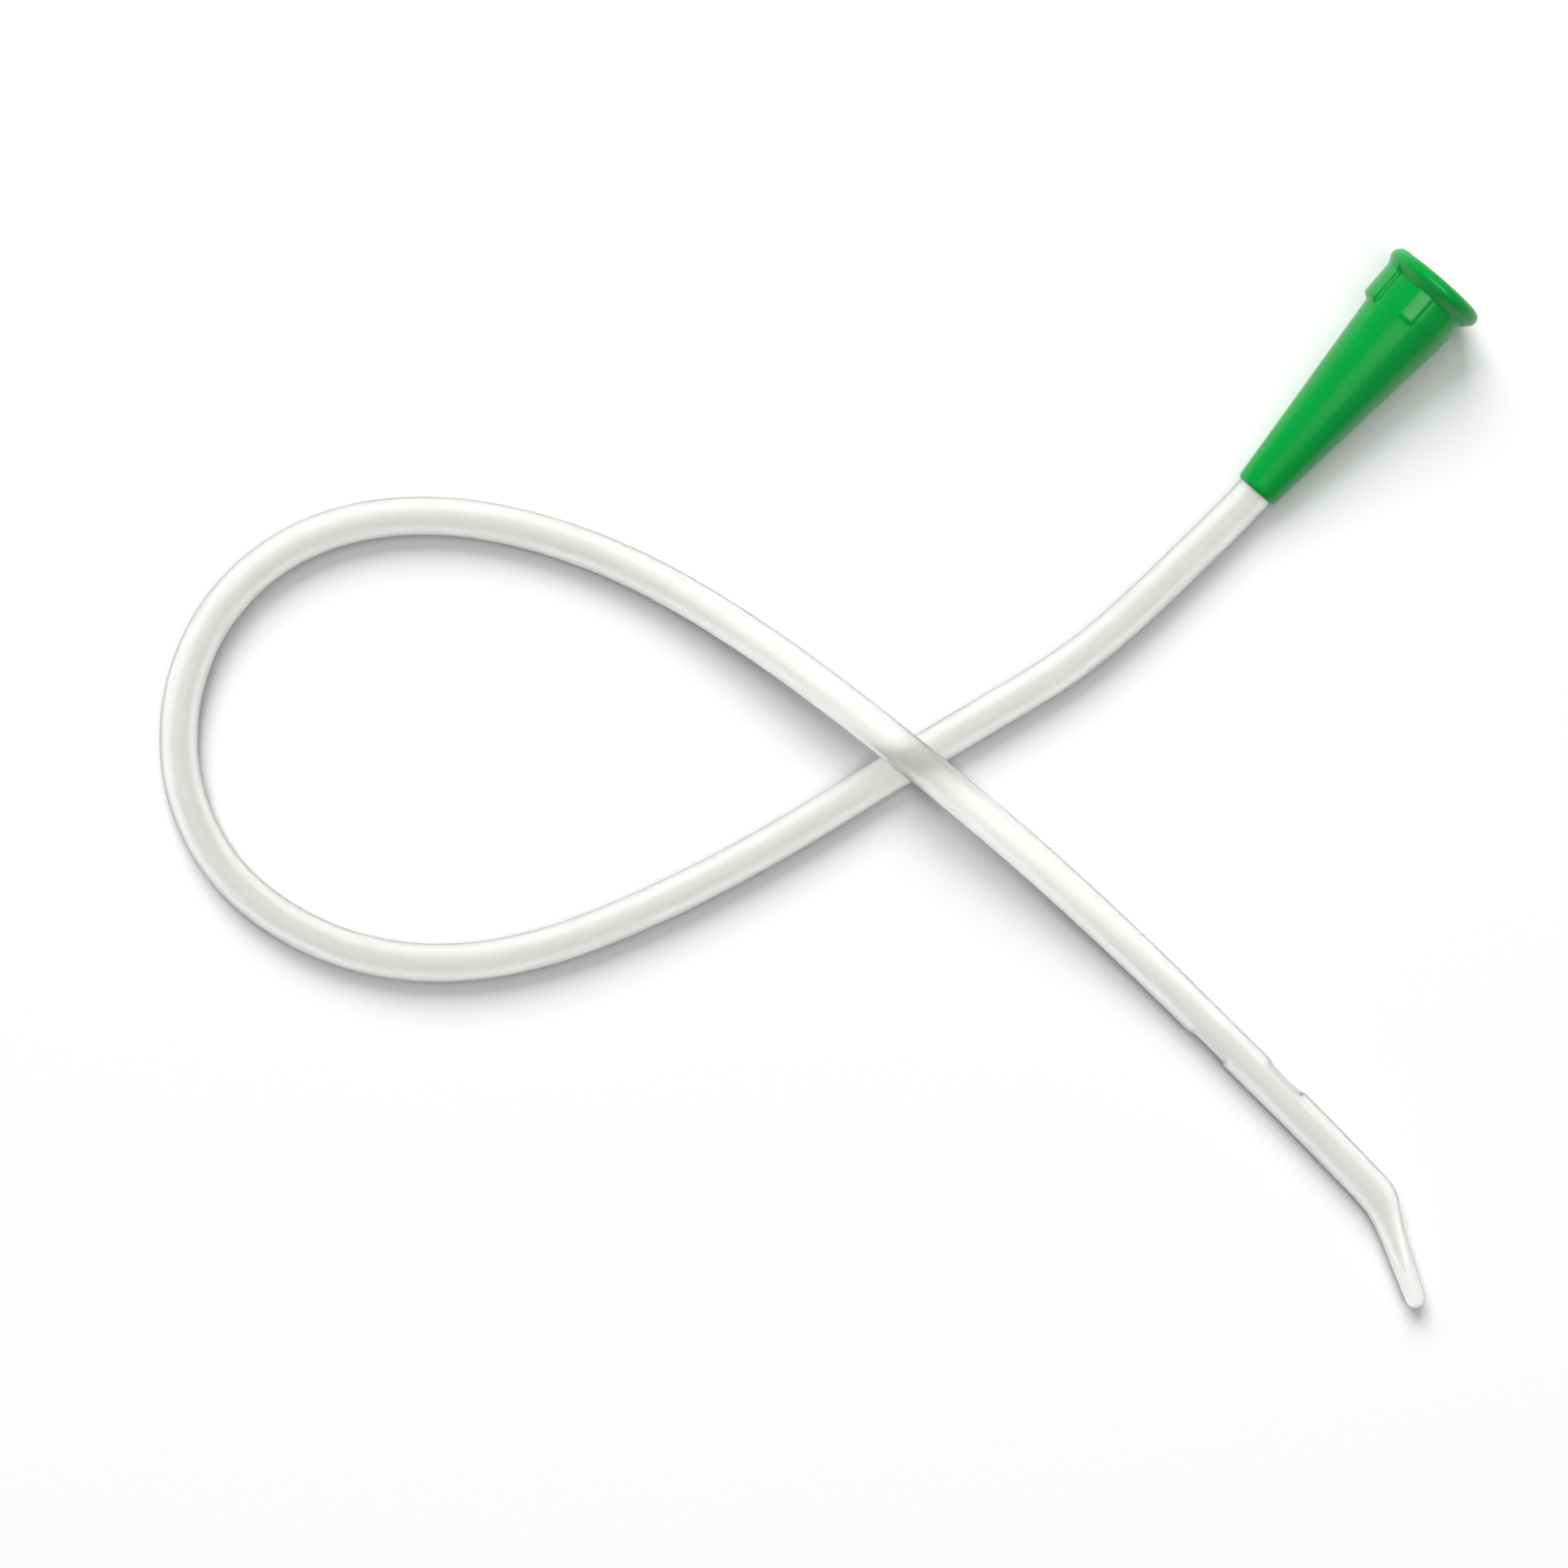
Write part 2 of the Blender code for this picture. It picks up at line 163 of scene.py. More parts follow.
class TubeSettings(bpy.types.PropertyGroup):
    """Sizes and finish of the drainage tube."""

    diameter: length("Diameter", "Outside of the tube", 0.00467)
    lumen: length("Lumen", "Inside of the tube", 0.00310)
    sides: IntProperty(name="Sides", description="Faces round the tube", default=48, min=8)
    ring_spacing: length("Ring spacing", "Distance between rings along the shaft", 0.0010)
    lumen_end: length("Lumen end", "Length over which the lumen narrows and closes in the tip", 0.0110)
    socket_depth: length("Socket depth", "How far the tube reaches into the funnel", 0.0087)
    tip_length: length("Tip length", "From the corner of the bend to the nose", 0.0144)
    tip_bend: angle("Tip bend", "How far the tip turns from the shaft", 24.0)
    tip_bend_radius: length("Bend radius", "Radius of the tube's axis in the bend", 0.0065)
    taper_length: length("Taper length", "Part of the tip that narrows fastest", 0.0060)
    neck: length("Neck", "Diameter where the fast taper ends", 0.00308)
    nose: length("Nose", "Diameter of the round closed nose", 0.00250)
    eye_length: length("Eye length", "Length of a drainage eye", 0.0059)
    eye_width: length("Eye width", "Width of a drainage eye", 0.0021)
    eye_to_bend: length("Eye to bend", "From the nearer eye's middle to the bend", 0.0170)
    eye_stagger: length("Eye stagger", "How much further back the other eye is", 0.0095)
    eye_rounding: length("Eye rounding", "Radius of an eye's polished edge outside", 0.00026)
    eye_inner_rounding: length("Eye inner rounding", "Radius of an eye's edge in the lumen", 0.00010)
    hump_half_length: length("Hump", "Half length of the rise over the crossing", 0.060)
    crossing_gap: length("Crossing gap", "Clearance over the strand below", 0.0003)
    tint: colour("Tint", "Colour of the clear plastic", (0.99, 0.99, 0.972))
    warm_tint: colour("Warm tint", "Colour of its slightly yellower streaks", (0.985, 0.98, 0.955))
    clearness: amount("Clearness", "Share of light that passes through", 0.9)
    roughness: amount("Roughness", "Roughness of the surface", 0.42)


class FunnelSettings(bpy.types.PropertyGroup):
    """Sizes and finish of the funnel."""

    small_end: length("Small end", "Diameter of the cone at the small end", 0.00555)
    small_end_rounding: length("Small end rounding", "Length of the rounded small end", 0.0010)
    cone_length: length("Cone length", "From the small end to the band", 0.0280)
    band: length("Band", "Diameter of the straight band", 0.0109)
    band_length: length("Band length", "Length of the band up to the rim's foot", 0.0030)
    rim: length("Rim", "Diameter of the rim", 0.0133)
    rim_rounding: length("Rim rounding", "Radius of the rim's crest", 0.0010)
    rim_fillet: length("Rim fillet", "Radius at the rim's foot", 0.0005)
    wall: length("Wall", "Wall of the cone and band", 0.0009)
    lead_in: length("Lead-in", "Rounding inside the mouth", 0.0003)
    throat: length("Throat", "Diameter of the throat behind the tube's end", 0.00367)
    throat_length: length("Throat length", "Length of the throat", 0.0008)
    flare_length: length("Flare length", "From the throat to the even wall", 0.0022)
    socket_depth: length("Socket depth", "Depth of the socket for the tube", 0.0090)
    key_start: length("Key start", "Where the raised key begins", 0.0262)
    key_height: length("Key height", "Height of the key over the band", 0.00065)
    key_half_angle: angle("Key half angle", "Half of the arc that the key spans", 35.0)
    key_ramp: length("Key ramp", "Length of the ramp at the key's start", 0.0008)
    pad_start: length("Pad start", "Where the grip pad begins", 0.0268)
    pad_width: length("Pad width", "Width of the grip pad", 0.0021)
    pad_height: length("Pad height", "Height of the pad over the band", 0.00010)
    pad_turn: angle("Pad turn", "Turn of the pad from the top towards the key", 4.5)
    pad_edge: length("Pad edge", "Softness of the pad's edges", 0.00060)
    edge: length("Edge", "Softness of the key's edges", 0.00030)
    green: colour("Green", "Colour of the moulded plastic", (0.0, 0.37, 0.055))
    deep_green: colour("Deep green", "Colour of its denser areas", (0.0, 0.335, 0.05))
    roughness: amount("Roughness", "Roughness of the moulded surface", 0.24)


class StageSettings(bpy.types.PropertyGroup):
    """Camera, lamps and table."""

    camera_height: length("Camera height", "Height of the camera over the table", 0.5)
    view_width: length("View width", "Width of the table that the frame shows", 0.19295)
    photo_turn: angle("Photo turn", "Angle of the funnel's axis in the frame", 48.99)
    table_size: length("Table size", "Width of the table", 6.0)
    table: colour("Table", "Colour of the table", (0.96, 0.96, 0.96))
    table_glow_through: amount("Glow through", "White that the clear tube adds to the table behind it", 0.82)
    key_power: power("Key power", "Power of the main lamp", 84.0)
    key_elevation: angle("Key elevation", "Height of the main lamp over the horizon", 46.0)
    key_turn: angle("Key turn", "Turn of the main lamp from the top of the frame", 15.0)
    key_width: length("Key width", "Width of the main lamp", 1.8)
    key_distance: length("Key distance", "Distance of the main lamp", 3.0)
    top_power: power("Top power", "Power of the lamp overhead", 9.4)
    top_width: length("Top width", "Width of the lamp overhead, along the funnel", 0.6)
    top_length: length("Top length", "Length of the lamp overhead, square to the funnel", 1.27)
    top_height: length("Top height", "Height of the lamp overhead", 1.5)
    top_right: length("Top right", "How far the lamp overhead hangs to the right of the frame's middle", 0.12)
    room_light: amount("Room light", "Strength of the even light all round", 0.08)
    walls: amount("Walls", "How white reflections find the walls", 0.2)
    ceiling: amount("Ceiling", "How much darker reflections find the ceiling than the walls", 0.95)


class Socket:
    """A shader value that can be used in arithmetic."""

    def __init__(self, sheet, socket):
        self.sheet = sheet
        self.socket = socket

    def math(self, operation, first, second):
        """The result of one Math node."""
        return self.sheet.add("ShaderNodeMath", {"operation": operation}, {0: first, 1: second})

    def __add__(self, other):
        return self.math("ADD", self, other)

    def __radd__(self, other):
        return self.math("ADD", other, self)

    def __sub__(self, other):
        return self.math("SUBTRACT", self, other)

    def __rsub__(self, other):
        return self.math("SUBTRACT", other, self)

    def __mul__(self, other):
        return self.math("MULTIPLY", self, other)

    def __rmul__(self, other):
        return self.math("MULTIPLY", other, self)

    def __lt__(self, other):
        return self.math("LESS_THAN", self, other)

    def or_more(self, other):
        """The larger of this and another value."""
        return self.math("MAXIMUM", self, other)


class Sheet:
    """The node tree of one material or world."""

    def __init__(self, tree):
        self.tree = tree
        tree.nodes.clear()

    def add(self, kind, settings=None, inputs=None, output=0):
        """Add a node with its settings, values and links, and return one of its outputs."""
        node = self.tree.nodes.new(kind)
        for name, value in (settings or {}).items():
            setattr(node, name, value)
        for name, value in (inputs or {}).items():
            if isinstance(value, Socket):
                self.tree.links.new(value.socket, node.inputs[name])
            else:
                node.inputs[name].default_value = value
        return Socket(self, node.outputs[output]) if node.outputs else None

    def noise(self, place, scale, detail):
        """Smooth noise from 0 to 1 at a place."""
        return self.add("ShaderNodeTexNoise", None, {"Vector": place, "Scale": scale, "Detail": detail})

    def blend(self, share, first, second):
        """Mix of two colours."""
        mixed = self.add(
            "ShaderNodeMix",
            {"data_type": "RGBA"},
            {"Factor": share, "A": (*first, 1.0), "B": (*second, 1.0)},
        )
        mixed.socket = mixed.socket.node.outputs["Result"]
        return mixed


def finish(sheet, shader):
    """Send a shader to the material's output."""
    sheet.add("ShaderNodeOutputMaterial", None, {"Surface": shader})


def new_sheet(name):
    """A new material and its empty node tree."""
    material = bpy.data.materials.new(name)
    material.use_nodes = True
    return material, Sheet(material.node_tree)


def frosted_tubing(size):
    """Frosted clear tubing: cloudy, softly glossy, with faint drawn streaks and a fine skin."""
    material, sheet = new_sheet("frosted_tubing")
    place = sheet.add("ShaderNodeTexCoord", output="Object")
    cloud = sheet.noise(place, scale=60.0, detail=3.0)
    ripple = sheet.noise(place, scale=420.0, detail=2.0)
    grain = sheet.noise(place, scale=2600.0, detail=2.0)
    # Both noises lie round 0.5, so this lies round 0
    unevenness = cloud + grain * 0.5 - 0.75
    bump = sheet.add(
        "ShaderNodeBump",
        None,
        {"Strength": 0.08, "Distance": 0.00005, "Height": grain * 0.35 + ripple},
    )
    shader = sheet.add(
        "ShaderNodeBsdfPrincipled",
        None,
        {
            "Base Color": sheet.blend(cloud, size.tint, size.warm_tint),
            "Roughness": size.roughness + 0.08 * unevenness,
            "IOR": 1.40,
            "Transmission Weight": size.clearness,
            "Subsurface Weight": 0.5,
            "Subsurface Radius": (1.0, 1.0, 0.9),
            "Subsurface Scale": 0.0012,
            "Normal": bump,
        },
    )
    finish(sheet, shader)
    return material


def green_moulding(size):
    """Glossy moulded green with a faint orange-peel skin and slightly denser areas."""
    material, sheet = new_sheet("green_moulding")
    place = sheet.add("ShaderNodeTexCoord", output="Object")
    cloud = sheet.noise(place, scale=140.0, detail=3.0)
    skin = sheet.noise(place, scale=900.0, detail=2.0)
    grain = sheet.noise(place, scale=4200.0, detail=2.0)
    # Both noises lie round 0.5, so this lies round 0
    unevenness = cloud + skin * 0.5 - 0.75
    bump = sheet.add(
        "ShaderNodeBump",
        None,
        {"Strength": 0.2, "Distance": 0.00004, "Height": skin + grain * 0.3},
    )
    shader = sheet.add(
        "ShaderNodeBsdfPrincipled",
        None,
        {
            "Base Color": sheet.blend(cloud, size.green, size.deep_green),
            "Roughness": size.roughness + 0.12 * unevenness,
            "IOR": 1.48,
            "Specular IOR Level": 0.33,
            "Subsurface Weight": 0.5,
            "Subsurface Radius": (0.2, 1.0, 0.4),
            "Subsurface Scale": 0.0025,
            "Normal": bump,
        },
    )
    finish(sheet, shader)
    return material


def early_ray(sheet, kind):
    """1 for a ray of one kind that has met no matt surface yet, and 0 for any other."""
    matt_bounces = sheet.add("ShaderNodeLightPath", output="Diffuse Depth")
    return sheet.add("ShaderNodeLightPath", output=kind) * (matt_bounces < 0.5)


def white_table(size):
    """Matt white table, brighter where it is seen through the clear tube."""
    material, sheet = new_sheet("white_table")
    place = sheet.add("ShaderNodeTexCoord", output="Object")
    through = early_ray(sheet, "Is Transmission Ray")
    shader = sheet.add(
        "ShaderNodeBsdfPrincipled",
        None,
        {
            "Base Color": (*size.table, 1.0),
            "Roughness": 0.85 + 0.1 * sheet.noise(place, scale=300.0, detail=2.0),
            "Specular IOR Level": 0.1,
            "Emission Color": through * size.table_glow_through,
            "Emission Strength": 1.0,
        },
    )
    finish(sheet, shader)
    return material


class ShaftRoute:
    """The shaft's smooth course: a cubic spline in plan, with its height above the table."""

    def __init__(self, tube, funnel):
        self.tube = tube
        self.points = np.array(SHAFT_ROUTE)
        self.steps = np.linalg.norm(np.diff(self.points, axis=0), axis=1)
        self.knots = np.concatenate([[0.0], np.cumsum(self.steps)])
        self.slopes = self.spline_slopes(np.array((-1.0, 0.0)))
        self.length = float(self.knots[-1])
        self.tilt, self.start_height = funnel_rest(funnel)

    def spline_slopes(self, start_tangent):
        """Slopes at the points that make the curvature run on through each of them."""
        count = len(self.points)
        rises = np.diff(self.points, axis=0) / self.steps[:, None]
        system = np.zeros((count, count))
        known = np.zeros((count, 2))
        system[0, 0] = 1.0
        known[0] = start_tangent
        for i in range(1, count - 1):
            before = self.steps[i - 1]
            after = self.steps[i]
            system[i, i - 1:i + 2] = (after, 2 * (before + after), before)
            known[i] = 3 * (after * rises[i - 1] + before * rises[i])
        system[-1, -2:] = (1.0, 2.0)
        known[-1] = 3 * rises[-1]
        return np.linalg.solve(system, known)

    def height(self, distance):
        """Height of the tube's axis: down from the funnel, level, and over the crossing."""
        radius = self.tube.diameter / 2
        drop = self.start_height - radius
        settling_length = 2 * drop / math.tan(self.tilt)
        height = radius
        if distance < settling_length:
            height += drop * (1 - distance / settling_length) ** 2
        share = abs(distance - self.knots[CROSSING_OVER]) / self.tube.hump_half_length
        if share < 1:
            height += (self.tube.diameter + self.tube.crossing_gap) * (1 - share ** 2) ** 3
        return height

    def point(self, distance):
        """Centre of the tube at a distance from the funnel's small end, negative inside the funnel."""
        if distance < 0:
            inside = Vector((math.cos(self.tilt), 0.0, math.sin(self.tilt))) * -distance
            return SMALL_END + Vector((0.0, 0.0, self.start_height)) + inside
        i = int(np.clip(np.searchsorted(self.knots, distance, side="right") - 1, 0, len(self.steps) - 1))
        width = self.steps[i]
        u = (distance - self.knots[i]) / width
        near = (1 + 2 * u) * self.points[i] + u * width * self.slopes[i]
        far = (3 - 2 * u) * self.points[i + 1] - (1 - u) * width * self.slopes[i + 1]
        x, y = near * (1 - u) ** 2 + far * u ** 2
        return SMALL_END + Vector((x, y, self.height(distance)))

    def direction(self, distance):
        """Direction of travel towards the tip."""
        reach = self.tube.diameter / 20
        return (self.point(distance + reach) - self.point(distance - reach)).normalized()


def around(centre, direction, radius, turn):
    """Point on a ring square to a direction, where turn is 0 on the left of travel and 90 degrees on top."""
    level = Vector((0, 0, 1)).cross(direction).normalized()
    up = direction.cross(level)
    return centre + (level * math.cos(turn) + up * math.sin(turn)) * radius


def shaft_distances(size, route):
    """Where the shaft's rings stand: closer together near the eyes and the tip."""
    fine_length = size.eye_to_bend + size.eye_stagger + 2 * size.eye_length
    socket = np.linspace(-size.socket_depth, 0.0, SOCKET_STEPS + 1)[:-1]
    plain_end = route.length - fine_length
    plain = np.linspace(0.0, plain_end, round(plain_end / size.ring_spacing) + 1)[:-1]
    fine = np.linspace(plain_end, route.length, round(2 * fine_length / size.ring_spacing) + 1)
    return np.concatenate([socket, plain, fine])


def tip_radius(size, from_corner):
    """Outer radius of the tip at a distance past the corner of its bend."""
    shaft = size.diameter / 2
    neck = size.neck / 2
    nose = size.nose / 2
    if from_corner <= 0:
        return shaft
    if from_corner < size.taper_length:
        return shaft - (shaft - neck) * math.sin(math.pi / 2 * from_corner / size.taper_length)
    share = (from_corner - size.taper_length) / (size.tip_length - nose - size.taper_length)
    return neck + (nose - neck) * share


def tip_stations(size, start, direction):
    """Centres, directions and radii through the bend and along the tip to its nose."""
    towards_key = direction.cross(Vector((0, 0, 1))).normalized()
    bend_centre = start + towards_key * size.tip_bend_radius
    tangent_length = size.tip_bend_radius * math.tan(size.tip_bend / 2)
    stations = []
    for turn in np.linspace(0.0, size.tip_bend, BEND_STEPS + 1)[1:]:
        heading = direction * math.cos(turn) + towards_key * math.sin(turn)
        outward = direction * math.sin(turn) - towards_key * math.cos(turn)
        from_corner = size.tip_bend_radius * turn - tangent_length
        centre = bend_centre + outward * size.tip_bend_radius
        stations.append((centre, heading, tip_radius(size, from_corner)))
    bend_end, heading, _ = stations[-1]
    nose_run = size.tip_length - size.nose / 2 - tangent_length
    for run in np.linspace(0.0, nose_run, TIP_STEPS + 1)[1:]:
        stations.append((bend_end + heading * run, heading, tip_radius(size, run + tangent_length)))
    return stations


def dome_stations(centre, direction, radius, steps):
    """Rings of a round closed end, without its pole."""
    stations = []
    for turn in np.linspace(0.0, math.pi / 2, steps + 1)[1:-1]:
        stations.append((centre + direction * radius * math.sin(turn), direction, radius * math.cos(turn)))
    return stations


def eye_outline(size, spread, count):
    """Points (along, height) of an eye's oval, spread outwards, from its end on the tip's side."""
    radius = size.eye_width / 2 + spread
    straight = (size.eye_length - size.eye_width) / 2
    quarter = math.pi / 2 * radius + straight
    outline = []
    for i in range(count):
        run = 4 * quarter * i / count
        corner = min(run, abs(2 * quarter - run), 4 * quarter - run)
        end = 1 if run < quarter or run > 3 * quarter else -1
        side = 1 if run < 2 * quarter else -1
        if corner < math.pi / 2 * radius:
            turn = corner / radius
            outline.append((end * (straight + radius * math.cos(turn)), side * radius * math.sin(turn)))
        else:
            outline.append((end * (quarter - corner), side * radius))
    return outline


class TubeBuilder:
    """Builds the tube's skins, its eyes and its closed tip in one mesh."""

    def __init__(self, size, route):
        self.size = size
        self.route = route
        self.shape = bmesh.new()
        self.distances = shaft_distances(size, route)
        self.shaft = [(route.point(d), route.direction(d)) for d in self.distances]
        self.tip = tip_stations(size, *self.shaft[-1])
        self.centres = [centre for centre, _ in self.shaft] + [centre for centre, _, _ in self.tip]

    def ring(self, centre, direction, radius):
        """One ring of vertices."""
        sides = self.size.sides
        turns = [2 * math.pi * side / sides for side in range(sides)]
        return [self.shape.verts.new(around(centre, direction, radius, turn)) for turn in turns]

    def bridge(self, near, far, left_out=()):
        """Faces between two rings or loops, apart from the sides left out."""
        count = len(near)
        for side in range(count):
            if side not in left_out:
                following = (side + 1) % count
                self.shape.faces.new((near[side], near[following], far[following], far[side]))

    def close(self, ring, pole):
        """A fan of faces from a ring to one point."""
        tip = self.shape.verts.new(pole)
        for side in range(len(ring)):
            self.shape.faces.new((ring[side], ring[(side + 1) % len(ring)], tip))

    def eye_window(self, distance, side):
        """Rings and sides of the rectangle that an eye's patch fills."""
        margin = self.size.eye_length / 2 + EYE_MARGIN
        first = int(np.searchsorted(self.distances, distance - margin))
        last = int(np.searchsorted(self.distances, distance + margin))
        half = self.size.sides // 6
        middle = 0 if side > 0 else self.size.sides // 2
        return first, last, half, middle

    def skin(self, rings, windows):
        """Faces of one skin of the shaft, open where the eyes' patches go."""
        sides = self.size.sides
        for i, (near, far) in enumerate(zip(rings, rings[1:])):
            left_out = set()
            for first, last, half, middle in windows:
                if first <= i < last:
                    left_out |= {(middle + step) % sides for step in range(-half, half)}
            self.bridge(near, far, left_out)

    def eye_border(self, rings, distance, side, window):
        """Vertices round an eye's window, with their places (along, rise) from the eye's middle."""
        first, last, half, middle = window
        path = [(last, step) for step in range(0, half)]
        path += [(i, half) for i in range(last, first, -1)]
        path += [(first, step) for step in range(half, -half, -1)]
        path += [(i, -half) for i in range(first, last)]
        path += [(last, step) for step in range(-half, 0)]
        border = []
        for i, step in path:
            vertex = rings[i][(middle + side * step) % self.size.sides]
            place = (self.distances[i] - distance, 2 * math.pi * step / self.size.sides)
            border.append((vertex, place))
        return border

    def eye_vertex(self, distance, side, radius, place):
        """A vertex on a skin at a place (along, rise) from an eye's middle."""
        along, rise = place
        turn = rise if side > 0 else math.pi - rise
        centre = self.route.point(distance + along)
        direction = self.route.direction(distance + along)
        return self.shape.verts.new(around(centre, direction, radius, turn))

    def eye_loop(self, distance, side, radius, spread, count):
        """One loop of the eye's oval on a skin of a given radius, and its places."""
        places = []
        for along, height in eye_outline(self.size, spread, count):
            places.append((along, math.asin(height / radius)))
        return [self.eye_vertex(distance, side, radius, place) for place in places], places

    def eye_patch(self, rings, radius, spread, distance, side, window):
        """Skin between an eye's oval and its window. Returns the oval's loop."""
        border = self.eye_border(rings, distance, side, window)
        oval, places = self.eye_loop(distance, side, radius, spread, len(border))
        loops = [oval]
        for step in range(1, EYE_LOOPS):
            share = (step / EYE_LOOPS) ** EYE_GATHER
            loop = []
            for near, (_, far) in zip(places, border):
                place = (near[0] + (far[0] - near[0]) * share, near[1] + (far[1] - near[1]) * share)
                loop.append(self.eye_vertex(distance, side, radius, place))
            loops.append(loop)
        loops.append([vertex for vertex, _ in border])
        for near, far in zip(loops, loops[1:]):
            self.bridge(near, far)
        return oval

    def eye(self, outer_rings, inner_rings, distance, side, window):
        """One polished drainage eye, with rounded edges outside and inside."""
        size = self.size
        outer = size.diameter / 2
        inner = size.lumen / 2
        rounding = size.eye_rounding
        loops = [self.eye_patch(outer_rings, outer, rounding, distance, side, window)]
        count = len(loops[0])
        for turn in np.linspace(0.0, math.pi / 2, EYE_EDGE_STEPS + 1)[1:]:
            spread = rounding * (1 - math.sin(turn))
            radius = outer - rounding * (1 - math.cos(turn))
            loops.append(self.eye_loop(distance, side, radius, spread, count)[0])
        rounding = size.eye_inner_rounding
        for turn in np.linspace(math.pi / 2, 0.0, EYE_INNER_STEPS + 1)[:-1]:
            spread = rounding * (1 - math.sin(turn))
            radius = inner + rounding * (1 - math.cos(turn))
            loops.append(self.eye_loop(distance, side, radius, spread, count)[0])
        loops.append(self.eye_patch(inner_rings, inner, rounding, distance, side, window))
        for near, far in zip(loops, loops[1:]):
            self.bridge(near, far)

    def narrowing_lumen(self, last_ring):
        """The lumen's end in the tip, which narrows to a point after the shaft's last ring."""
        size = self.size
        rings = [last_ring]
        run = 0.0
        before = self.shaft[-1][0]
        for centre, direction, radius in self.tip:
            run += (centre - before).length
            before = centre
            if run >= size.lumen_end:
                break
            share = size.lumen / size.diameter * math.sqrt(1 - (run / size.lumen_end) ** 2)
            rings.append(self.ring(centre, direction, radius * share))
        self.skin(rings, [])
        self.close(rings[-1], before)

    def build(self):
        """The whole tube as one closed skin with its lumen and its eyes."""
        size = self.size
        nose_centre, heading, nose = self.tip[-1]
        eyes = [(self.route.length - size.eye_to_bend, 1)]
        eyes.append((eyes[0][0] - size.eye_stagger, -1))
        windows = [self.eye_window(distance, side) for distance, side in eyes]
        outer = [self.ring(centre, direction, size.diameter / 2) for centre, direction in self.shaft]
        inner = [self.ring(centre, direction, size.lumen / 2) for centre, direction in self.shaft]
        self.skin(outer, windows)
        self.skin(inner, windows)
        for (distance, side), window in zip(eyes, windows):
            self.eye(outer, inner, distance, side, window)
        self.bridge(outer[0], inner[0])
        tip = [outer[-1]] + [self.ring(*station) for station in self.tip]
        tip += [self.ring(*station) for station in dome_stations(nose_centre, heading, nose, NOSE_STEPS)]
        self.skin(tip, [])
        self.close(tip[-1], nose_centre + heading * nose)
        self.narrowing_lumen(inner[-1])
        bmesh.ops.recalc_face_normals(self.shape, faces=self.shape.faces)
        return self.shape


def cone_radius(size, x):
    """Outer radius of the funnel's cone at a distance from its small end."""
    return (size.small_end + (size.band - size.small_end) * x / size.cone_length) / 2


def rim_centre(size):
    """Distance from the small end to the middle of the rim's round crest, whose back slopes at 45 degrees."""
    half_slope = math.sqrt(0.5)
    crest_rise = size.rim / 2 - size.rim_rounding * (1 - half_slope) - size.band / 2
    return size.cone_length + size.band_length + crest_rise + size.rim_rounding * half_slope


def funnel_rest(size):
    """Slope of the funnel's axis, and height of its small end, when it rests on its rim and small end."""
    start = size.small_end_rounding
    radius = cone_radius(size, start)
    tilt = math.atan2(size.rim / 2 - radius, rim_centre(size) - start)
    return tilt, radius * math.cos(tilt) - start * math.sin(tilt)


def arc(centre_x, centre_r, radius, start, end, steps):
    """Points of a round stretch in a profile of (x, r), between two angles in degrees from +x."""
    turns = np.radians(np.linspace(start, end, steps + 1))
    return [(centre_x + radius * math.cos(turn), centre_r + radius * math.sin(turn)) for turn in turns]


def funnel_outside(size, tube_radius):
    """Profile (x, r) of the funnel's outside: small end, cone, band, and the rim up to its mouth."""
    start = size.small_end_rounding
    hug = tube_radius + BOND
    depth = cone_radius(size, start) - hug
    profile = []
    for turn in np.linspace(0.0, math.pi / 2, SMALL_END_STEPS + 1)[:-1]:
        profile.append((start * (1 - math.cos(turn)), hug + depth * math.sin(turn)))
    fine_start = size.key_start - FINE_BEFORE_KEY
    for x in np.linspace(start, fine_start, CONE_STEPS + 1)[:-1]:
        profile.append((x, cone_radius(size, x)))
    foot = size.cone_length + size.band_length - size.rim_fillet * math.tan(math.pi / 8)
    for x in np.linspace(fine_start, foot, BAND_STEPS + 1)[:-1]:
        profile.append((x, min(cone_radius(size, x), size.band / 2)))
    profile += arc(foot, size.band / 2 + size.rim_fillet, size.rim_fillet, -90, -45, FILLET_STEPS)
    crest = size.rim / 2 - size.rim_rounding
    profile += arc(rim_centre(size), crest, size.rim_rounding, 135, 0, CREST_STEPS)
    return profile


def funnel_inside(size, tube_radius):
    """Profile (x, r) of the funnel's inside, from the mouth to the socket's open end."""
    mouth = size.band / 2 - size.wall
    face = rim_centre(size) + size.rim_rounding
    throat_end = size.socket_depth + size.throat_length
    flare_end = throat_end + size.flare_length
    profile = arc(face - size.lead_in, mouth + size.lead_in, size.lead_in, 0, -90, LEAD_IN_STEPS)
    for x in np.linspace(size.cone_length, flare_end, INSIDE_STEPS + 1):
        profile.append((x, cone_radius(size, x) - size.wall))
    profile.append((throat_end, size.throat / 2))
    profile.append((size.socket_depth, size.throat / 2))
    profile.append((size.socket_depth, tube_radius + BOND))
    profile.append((0.0, tube_radius + BOND))
    return profile


def funnel_turns(size):
    """Angles round the funnel from the key's middle, closer together along the key's and pad's edges."""
    pad_half = math.asin(size.pad_width / size.band)
    pad = math.pi / 2 - size.pad_turn
    edges = (-size.key_half_angle, size.key_half_angle, pad - pad_half, pad + pad_half)
    turns = []
    turn = -math.pi
    while turn < math.pi - SEAM_GAP:
        turns.append(turn)
        near_edge = min(abs(turn - edge) for edge in edges) < FINE_REACH
        turn += FINE_TURN if near_edge else PLAIN_TURN
    return turns


def smooth_step(share):
    """Soft rise from 0 to 1."""
    share = min(max(share, 0.0), 1.0)
    return share * share * (3 - 2 * share)


def soft_positive(value, softness):
    """The value where it is above zero, with a rounded corner down to nothing."""
    return (value + math.sqrt(value * value + softness * softness)) / 2


